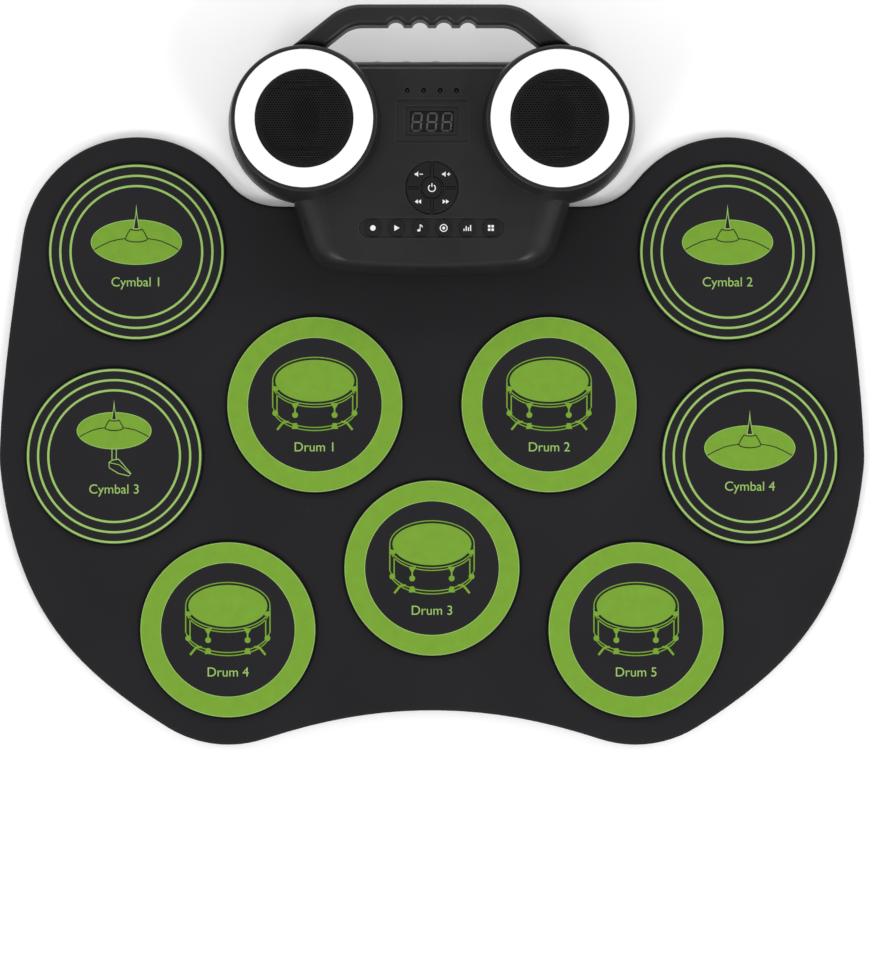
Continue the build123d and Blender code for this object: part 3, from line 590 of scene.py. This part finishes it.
def triangulate_between(bm, outer, holes, grid=()):
    """Fills the region between an outer ring and several round or square holes, using free points too."""
    points, edges, owners, verts = [], [], [], []
    for number, ring in enumerate([outer] + holes):
        start = len(verts)
        edges += [(start + i, start + (i + 1) % len(ring)) for i in range(len(ring))]
        verts += ring
        owners += [number] * len(ring)
    points = [Vector(vert.co.xy) for vert in verts] + [Vector(point) for point in grid]
    result = geometry.delaunay_2d_cdt(points, edges, [], INSIDE_OUTLINE, 1e-9)
    made = []
    owner = []
    for co, source in zip(result[0], result[3]):
        on_ring = source[0] < len(verts)
        made.append(verts[source[0]] if on_ring else bm.verts.new((co.x, co.y, mat_height(co.x, co.y))))
        owner.append(owners[source[0]] if on_ring else 0)
    for face in result[2]:
        # a face with all its corners on one hole's ring lies in that hole
        if len({owner[i] for i in face}) > 1 or owner[face[0]] == 0:
            bm.faces.new([made[i] for i in face])


mat_loop = resample(outer_loop("mat_base_sheet", 0.0), MAT_STEP * MM)


def build_mat_skin():
    """The mat's upper skin, with a rolled rim and an opening for each pad."""
    bm = bmesh.new()
    # distance in from the outline and height; no height means the height of the skin there
    rim = ((0.0, sheet_split), (0.0, 2.4), (0.12, 3.2), (0.5, 4.0), (1.1, 4.55), (2.0, None), (3.6, None))
    rings = []
    for distance, height in rim:
        ring = []
        for x, y in inward(mat_loop, distance * MM):
            z = mat_height(x, y) if height is None else height * MM
            ring.append(bm.verts.new((x, y, z)))
        rings.append(ring)
    for first, second in zip(rings, rings[1:]):
        bridge(bm, first, second)
    under_lip = [bm.verts.new((x, y, sheet_split * MM)) for x, y in inward(mat_loop, RIM_INSET * MM)]
    under_rim = [bm.verts.new((x, y, UNDERSIDE * MM)) for x, y in inward(mat_loop, RIM_INSET * MM)]
    bridge(bm, rings[0], under_lip)
    bridge(bm, under_lip, under_rim)
    holes = []
    under_holes = []
    opening = pad_radius + SKIN_GAP
    pocket = pad_radius + PAD_FLANGE + POCKET_GAP
    lip = (  # radius, fixed height, or else how far below the skin's height
        (pocket, UNDERSIDE, None),
        (pocket, LIP_UNDERSIDE, None),
        (opening, LIP_UNDERSIDE, None),
        (opening, None, 0.22),
        (opening + 0.12, None, 0.06),
        (opening + 0.35, None, 0.0),
        (opening + 1.2, None, 0.0),
        (opening + 2.6, None, 0.0),
        (opening + 4.4, None, 0.0),
    )
    for center in pad_centers.values():
        bands = []
        for radius, level, drop in lip:
            ring = []
            for x, y in ring_points(center, radius * MM, OPENING_STEPS):
                z = level * MM if drop is None else mat_height(x, y) - drop * MM
                ring.append(bm.verts.new((x, y, z)))
            bands.append(ring)
        for first, second in zip(bands, bands[1:]):
            bridge(bm, first, second)
        under_holes.append(bands[0])
        holes.append(bands[-1])
    triangulate_between(bm, under_rim, under_holes)
    clear = (opening + 5.2) * MM
    grid = []
    pitch = MAT_PITCH * MM
    xs = [x for x, _ in mat_loop]
    ys = [y for _, y in mat_loop]
    inner = inward(mat_loop, MAT_PITCH * MM)
    columns = int((max(xs) - min(xs)) / pitch)
    rows = int((max(ys) - min(ys)) / (pitch * TRIANGLE_ROW))
    for row in range(rows + 1):
        for column in range(columns + 1):
            x = min(xs) + (column + 0.5 * (row % 2)) * pitch
            y = min(ys) + row * pitch * TRIANGLE_ROW
            far = all(math.hypot(x - c.x, y - c.y) > clear for c in pad_centers.values())
            if far and inside((x, y), inner):
                grid.append((x, y))
    triangulate_between(bm, rings[-1], holes, grid)
    piece = add_piece("mat_skin", bm, ["silicone_sheet"], BASE, 50)
    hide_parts("mat_top_sheet")


def build_mat_backing():
    """The mat's base sheet, with a shallow bead round its underside and the clamp bar's window."""
    bm = bmesh.new()
    rings = []
    profile = ((0.0, sheet_split), (0.0, 0.35), (0.35, 0.0), (1.0, 0.0), (1.3, 0.25), (1.9, 0.25), (2.2, 0.0))
    for distance, height in profile:
        rings.append([bm.verts.new((x, y, height * MM)) for x, y in inward(mat_loop, distance * MM)])
    for first, second in zip(rings, rings[1:]):
        bridge(bm, first, second)
    bar_low, bar_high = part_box("mat_clamp_bar")
    margin = WINDOW_MARGIN * MM
    x0, x1 = bar_low.x - margin, bar_high.x + margin
    y0, y1 = bar_low.y - margin, bar_high.y + margin
    corners = [(x0, y0), (x1, y0), (x1, y1), (x0, y1)]
    window = [bm.verts.new((x, y, 0.0)) for x, y in corners]
    window_top = [bm.verts.new((x, y, sheet_split * MM)) for x, y in corners]
    bridge(bm, window, window_top)
    triangulate_between(bm, rings[-1], [window])
    triangulate_between(bm, rings[0], [window_top])
    piece = add_piece("mat_backing", bm, ["silicone_sheet"], BASE, 40)
    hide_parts("mat_base_sheet")


# ================================================================ strike pads


def build_pad(name):
    """A strike pad with a soft shoulder, standing a little proud of the mat."""
    center = pad_centers[name]
    low = pad_low.z / MM
    flange = pad_radius + PAD_FLANGE
    profile = [(0, low), (flange, low), (flange, low + FLANGE_HEIGHT)]
    profile += [(pad_radius, low + FLANGE_HEIGHT), (pad_radius, pad_top - PAD_SHOULDER)]
    for i in range(1, SHOULDER_STEPS + 1):
        angle = math.radians(90 * i / SHOULDER_STEPS)
        profile.append(
            (
                pad_radius - PAD_SHOULDER * (1 - math.cos(angle)),
                pad_top - PAD_SHOULDER * (1 - math.sin(angle)),
            )
        )
    profile += [(radius, pad_top) for radius in (44, 36, 26, 15, 6)] + [(0, pad_top)]
    bm = bmesh.new()
    lathe(bm, center, profile)
    piece = add_piece(f"{name}_face", bm, ["pad_silicone"], name, 40)
    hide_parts(name)


GREEN, LIGHT, DARK = 0, 1, 2
INK_SLOTS = ["ink_green", "ink_light", "ink_dark"]


def ring_band(page, inner, outer, slot, layer=0):
    low, high = page.levels(layer)
    profile = [(inner, low / MM), (outer, low / MM), (outer, high / MM), (inner, high / MM)]
    lathe(page.bm, page.center, profile, slot=slot, closed=True)


def draw_cymbal(page, y, size):
    """A cymbal seen from above its edge: disc, bell, spike and two creases. size 1 is 50 mm across."""
    def place(points, side=1):
        return [(side * size * px, y + size * py) for px, py in points]

    page.blob(place(ellipse(0, 0, 25.2, 12.4)), GREEN)
    page.line(place(ellipse(0, 0, 25.2, 12.4)), 0.4, LIGHT, 1, closed=True)
    for side in (-1, 1):
        crease = [(6.2, 2.0), (10.5, 1.4), (14.5, 0.4), (19.5, -1.9), (23.6, -4.2)]
        page.line(place(crease, side), 0.5, DARK, 2)
        page.line(place([(3.1, 7.4), (4.6, 5.2), (6.3, 1.8)], side), 0.5, DARK, 3)
    page.line(place(ellipse(0, 2.0, 6.2, 1.9, 180, 360, 24)), 0.5, DARK, 4)
    page.line(place(ellipse(0, 7.4, 3.1, 0.8, 180, 360, 16)), 0.5, DARK, 4)
    page.blob(place([(-1.9, 7.2), (1.9, 7.2), (0.5, 15.5), (0, 21.2), (-0.5, 15.5)]), LIGHT, 5)
    page.blob(place([(-1.3, 7.7), (1.3, 7.7), (0, 16.0)]), DARK, 6)


def draw_drum(page):
    """A drum seen from above its front edge: head, two hoops, lugs and short legs."""
    rx, head_y, foot_y, foot_ry = 23.5, 13.3, -1.7, 12.6
    head_rx, head_ry = 22.0, 11.7
    page.blob(ellipse(0, head_y, head_rx, head_ry), GREEN)
    page.line(ellipse(0, head_y, rx, head_ry + 1.4, -8, 188, 60), 0.6, GREEN)
    for drop in (1.2, 2.7):
        page.line(ellipse(0, head_y - drop, rx - 0.4, head_ry + 0.2, 188, 352, 48), 0.6, GREEN, 1)
    for side in (-1, 1):
        page.line([(side * rx, head_y - 1), (side * rx, foot_y)], 0.7, GREEN, 1)
        page.line([(side * (rx - 2.4), head_y - 7), (side * (rx - 2.4), foot_y - 3)], 0.7, GREEN, 1)
        page.blob(ellipse(side * (rx - 1.5), head_y - 4.4, 1.9, 1.3, steps=24), GREEN, 2)
        page.blob(ellipse(side * (rx - 1.4), foot_y - 3.0, 1.6, 1.6, steps=24), GREEN, 2)
        leg = [(side * 14.6, -9.6), (side * 17.2, -9.6), (side * 18.6, -11.0), (side * 21.0, -14.0)]
        page.line(leg, 1.2, GREEN, 3)
    for drop in (0.0, 1.7):
        page.line(ellipse(0, foot_y - drop + 1.6, rx - 0.1, foot_ry, 188, 352, 48), 0.6, GREEN, 1)
    for x in (-11.0, 11.0):
        top = head_y - 2.7 - head_ry * math.sqrt(1 - (x / rx) ** 2)
        claw = [(-2.2, 0.6), (-0.55, -2.4), (0.55, -2.4), (2.2, 0.6)]
        page.blob([(x + dx, top + dy) for dx, dy in claw], GREEN, 2)
        page.line([(x, top - 2.2), (x, top - 5.0)], 0.9, GREEN, 3)
        page.blob(ellipse(x, top - 6.0, 1.65, 1.65, steps=24), GREEN, 4)
        foot = foot_y + 0.7 - foot_ry * math.sqrt(1 - (x / rx) ** 2)
        lug = [(-1.1, 1.9), (-1.9, -1.4), (1.9, -1.4), (1.1, 1.9)]
        page.blob([(x + dx, foot + dy) for dx, dy in lug], GREEN, 2)


PEDAL_PLATE = [
    (-2.8, -3.4), (-1.0, -2.2), (2.4, -1.6), (4.2, -3.6),
    (9.4, -9.8), (8.2, -11.0), (2.4, -9.6), (-2.8, -6.4),
]
PEDAL_FOLD = [(-2.6, -3.6), (2.8, -4.8), (9.0, -9.9)]


def build_print(name):
    page = Print(pad_centers[name], pad_top * MM)
    if name in DRUMS:
        ring_out = pad_radius - PAD_SHOULDER
        ring_band(page, RING_IN, ring_out, GREEN)
        ring_band(page, RING_IN, RING_IN + RING_EDGE, LIGHT, 1)
        ring_band(page, ring_out - RING_EDGE, ring_out, LIGHT, 1)
        draw_drum(page)
        page.text(f"Drum {DRUMS[name]}", CAPTION_SIZE, DRUM_CAPTION_Y, LIGHT)
    else:
        for radius in CYMBAL_RINGS:
            ring_band(page, radius - CYMBAL_LINE / 2, radius + CYMBAL_LINE / 2, LIGHT)
        caption_y = CYMBAL_CAPTION_Y
        if name == "hihat_pad":
            caption_y = HIHAT_CAPTION_Y
            draw_cymbal(page, 14.2, 0.82)
            for x in (-1.2, 1.2):
                page.line([(x, 4.0), (x, -2.2)], 0.5, LIGHT)
            page.line(PEDAL_PLATE, 0.5, LIGHT, 1, closed=True)
            page.line(PEDAL_FOLD, 0.4, LIGHT, 2)
        elif name == "ride_pad":
            draw_cymbal(page, 4.6, 1.0)
        else:
            draw_cymbal(page, 5.4, 1.0)
        page.text(f"Cymbal {CYMBALS[name]}", CAPTION_SIZE, caption_y, LIGHT)
    add_piece(f"{name}_print", page.bm, INK_SLOTS, name, 30)


# ================================================================ console details


def build_grille(side):
    """Perforated steel disc with a rolled edge."""
    low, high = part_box(f"{side}_grille")
    center = (low + high) / 2
    radius = (high.x - low.x) / 2 / MM
    curve = bpy.data.curves.new("perforated", "CURVE")
    curve.dimensions = "2D"
    curve.fill_mode = "BOTH"
    curve.extrude = 0.25 * MM

    def loop(x, y, r, steps):
        spline = curve.splines.new("POLY")
        spline.points.add(steps - 1)
        for i in range(steps):
            angle = 2 * math.pi * i / steps
            spline.points[i].co = ((x + r * math.cos(angle)) * MM, (y + r * math.sin(angle)) * MM, 0, 1)
        spline.use_cyclic_u = True

    loop(0, 0, radius - 0.2, 128)
    reach = int(radius / GRILLE_PITCH) + 1
    for row in range(-reach - 3, reach + 4):
        for column in range(-reach, reach + 1):
            x = (column + 0.5 * (row % 2)) * GRILLE_PITCH
            y = row * GRILLE_PITCH * TRIANGLE_ROW
            if math.hypot(x, y) < radius - GRILLE_BORDER:
                loop(x, y, GRILLE_HOLE, 8)
    sheet = bpy.data.objects.new("perforated", curve)
    bpy.context.scene.collection.objects.link(sheet)
    bpy.context.view_layer.update()
    mesh = sheet.evaluated_get(bpy.context.evaluated_depsgraph_get()).to_mesh()
    bm = bmesh.new()
    bm.from_mesh(mesh)
    bpy.data.objects.remove(sheet)
    bpy.data.curves.remove(curve)
    for vert in bm.verts:
        share = min(1.0, vert.co.xy.length / (radius * MM))
        vert.co += Vector((center.x, center.y, high.z - 0.3 * MM + GRILLE_CROWN * MM * (1 - share**2)))
    edge = []
    for i in range(GRILLE_EDGE_STEPS):
        angle = 2 * math.pi * i / GRILLE_EDGE_STEPS
        across = radius - GRILLE_EDGE + GRILLE_EDGE * math.cos(angle)
        edge.append((across, high.z / MM - 0.1 + GRILLE_EDGE * math.sin(angle)))
    lathe(bm, center, edge, closed=True)
    piece = add_piece(f"{side}_grille_mesh", bm, ["grille_metal"], BASE, 40)
    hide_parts(f"{side}_grille")


def build_digits():
    """Three unlit seven-segment digits on the display module's face."""
    low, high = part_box("display_module")
    center = (low + high) / 2
    page = Print(center, high.z)
    half, side = DIGIT_HEIGHT / 2, DIGIT_WIDTH / 2
    segments = [((-side + SEGMENT_GAP, level), (side - SEGMENT_GAP, level)) for level in (-half, 0, half)]
    for x in (-side, side):
        for start, end in ((-half + SEGMENT_GAP, -SEGMENT_GAP), (SEGMENT_GAP, half - SEGMENT_GAP)):
            segments.append(((x, start), (x, end)))
    for index in (-1, 0, 1):
        shift = index * DIGIT_PITCH
        for start, end in segments:
            a, b = Vector(start), Vector(end)
            tip = (b - a).normalized() * SEGMENT_WIDTH / 2
            across = Vector((-tip.y, tip.x))
            hexagon = [a - tip, a - across, b - across, b + tip, b + across, a + across]
            page.blob([(p.x + shift + DIGIT_SLANT * p.y, p.y) for p in hexagon], 0)
    add_piece("display_digits", page.bm, ["segment_grey"], BASE, 30)


KEYS = [name for name in frame["nodes"] if name.startswith("key_")]


def legend_page(key):
    low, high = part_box(key)
    return Print((low + high) / 2, high.z)


def build_legends():
    """Plain symbols on the keys: power, louder and softer, slower and faster, and six functions."""
    pages = {key: legend_page(key) for key in KEYS}
    power = pages["key_power"]
    power.line(ellipse(0, -0.1, 1.9, 1.9, 125, 415, 30), 0.55, 0)
    power.line([(0, 0.6), (0, 2.5)], 0.55, 0, 1)
    for key, sign in (("key_volume_down", -1), ("key_volume_up", 1)):
        page = pages[key]
        page.blob([(-1.9, -0.5), (-1.1, -0.5), (0.0, -1.5), (0.0, 1.5), (-1.1, 0.5), (-1.9, 0.5)], 0)
        page.line([(0.8, 0), (2.6, 0)], 0.5, 0)
        if sign > 0:
            page.line([(1.7, -0.9), (1.7, 0.9)], 0.5, 0, 1)
    for key, sign in (("key_tempo_down", -1), ("key_tempo_up", 1)):
        for shift in (-0.9, 0.9):
            tip = shift + sign * 1.0
            back = shift - sign * 0.7
            pages[key].blob([(back, -1.2), (tip, 0), (back, 1.2)][:: sign], 0)
    pages["key_record"].blob(ellipse(0, 0, 1.5, 1.5, steps=32), 0)
    pages["key_play"].blob([(-1.2, -1.6), (1.7, 0), (-1.2, 1.6)], 0)
    demo = pages["key_demo"]
    demo.blob(ellipse(-0.7, -1.3, 0.85, 0.65, steps=24), 0)
    demo.line([(0.0, -1.2), (0.0, 1.9)], 0.4, 0, 1)
    demo.line([(0.0, 1.8), (0.9, 1.2), (1.3, 0.4)], 0.5, 0, 2)
    kit = pages["key_kit"]
    kit.line(ellipse(0, 0, 1.9, 1.9, steps=40), 0.5, 0, closed=True)
    kit.blob(ellipse(0, 0, 0.8, 0.8, steps=24), 0)
    for i, length in enumerate((1.2, 2.6, 1.9, 3.2)):
        x = -1.8 + 1.2 * i
        pages["key_rhythm"].line([(x, -1.6), (x, -1.6 + length)], 0.6, 0)
    for x in (-0.95, 0.95):
        for y in (-0.95, 0.95):
            square = [(-1, -1), (1, -1), (1, 1), (-1, 1)]
            pages["key_style"].blob([(x + 0.65 * dx, y + 0.65 * dy) for dx, dy in square], 0)
    for key, page in pages.items():
        add_piece(f"{key}_legend", page.bm, ["ink_white"], key, 30)


# ================================================================ build

build_mat_skin()
build_mat_backing()
for pad_name in pad_names:
    build_pad(pad_name)
    build_print(pad_name)
for bowl_side in ("left", "right"):
    build_grille(bowl_side)
build_digits()
build_legends()


# ================================================================ stage, light and camera


def build_floor():
    """Plain pale floor just under the object."""
    bm = bmesh.new()
    half, level = FLOOR_HALF * MM, FLOOR_LEVEL * MM
    corners = ((-1, -1), (1, -1), (1, 1), (-1, 1))
    bm.faces.new([bm.verts.new((x * half, y * half, level)) for x, y in corners])
    mesh = bpy.data.meshes.new("floor")
    bm.to_mesh(mesh)
    bm.free()
    paint = moulded("floor_paint", srgb(250, 250, 250), 0.8, 300, 0.00002, mottle=0.004, patch=3)
    paint.set(Emission_Color=(1, 1, 1, 1), Emission_Strength=0.10)
    mesh.materials.append(paint.material)
    floor = bpy.data.objects.new("floor", mesh)
    bpy.context.scene.collection.objects.link(floor)


def soft_box(name, place, target, size, power):
    light = bpy.data.lights.new(name, "AREA")
    light.shape = "RECTANGLE"
    light.size, light.size_y = size
    light.energy = power
    lamp = bpy.data.objects.new(name, light)
    lamp.location = place
    lamp.rotation_euler = (Vector(target) - Vector(place)).to_track_quat("-Z", "Y").to_euler()
    bpy.context.scene.collection.objects.link(lamp)


build_floor()
soft_box("front_left_light", (-1.3, -1.3, 1.3), (0, 0.05, 0), (0.9, 0.7), 17)
soft_box("front_right_light", (1.3, -1.3, 1.3), (0, 0.05, 0), (0.9, 0.7), 19)
soft_box("back_light", (0.0, 1.9, 1.1), (0, 0.15, 0), (2.4, 0.5), 17)
soft_box("left_light", (-1.7, 0.4, 0.5), (0, 0.15, 0), (0.4, 0.5), 4)
soft_box("right_light", (1.7, 0.4, 0.5), (0, 0.15, 0), (0.4, 0.5), 5)

world = bpy.data.worlds.new("studio")
world.use_nodes = True
world.node_tree.nodes["Background"].inputs["Color"].default_value = (1, 1, 1, 1)
world.node_tree.nodes["Background"].inputs["Strength"].default_value = 0.5
bpy.context.scene.world = world
bpy.context.scene.view_settings.view_transform = "Standard"

camera_data = bpy.data.cameras.new("camera")
camera_data.sensor_width = SENSOR
camera_data.lens = SENSOR * CAMERA_HEIGHT / VIEW_HEIGHT
camera_data.clip_end = 20
camera = bpy.data.objects.new("camera", camera_data)
camera.location = (VIEW_CENTER[0] * MM, VIEW_CENTER[1] * MM, CAMERA_HEIGHT * MM)
bpy.context.scene.collection.objects.link(camera)
bpy.context.scene.camera = camera
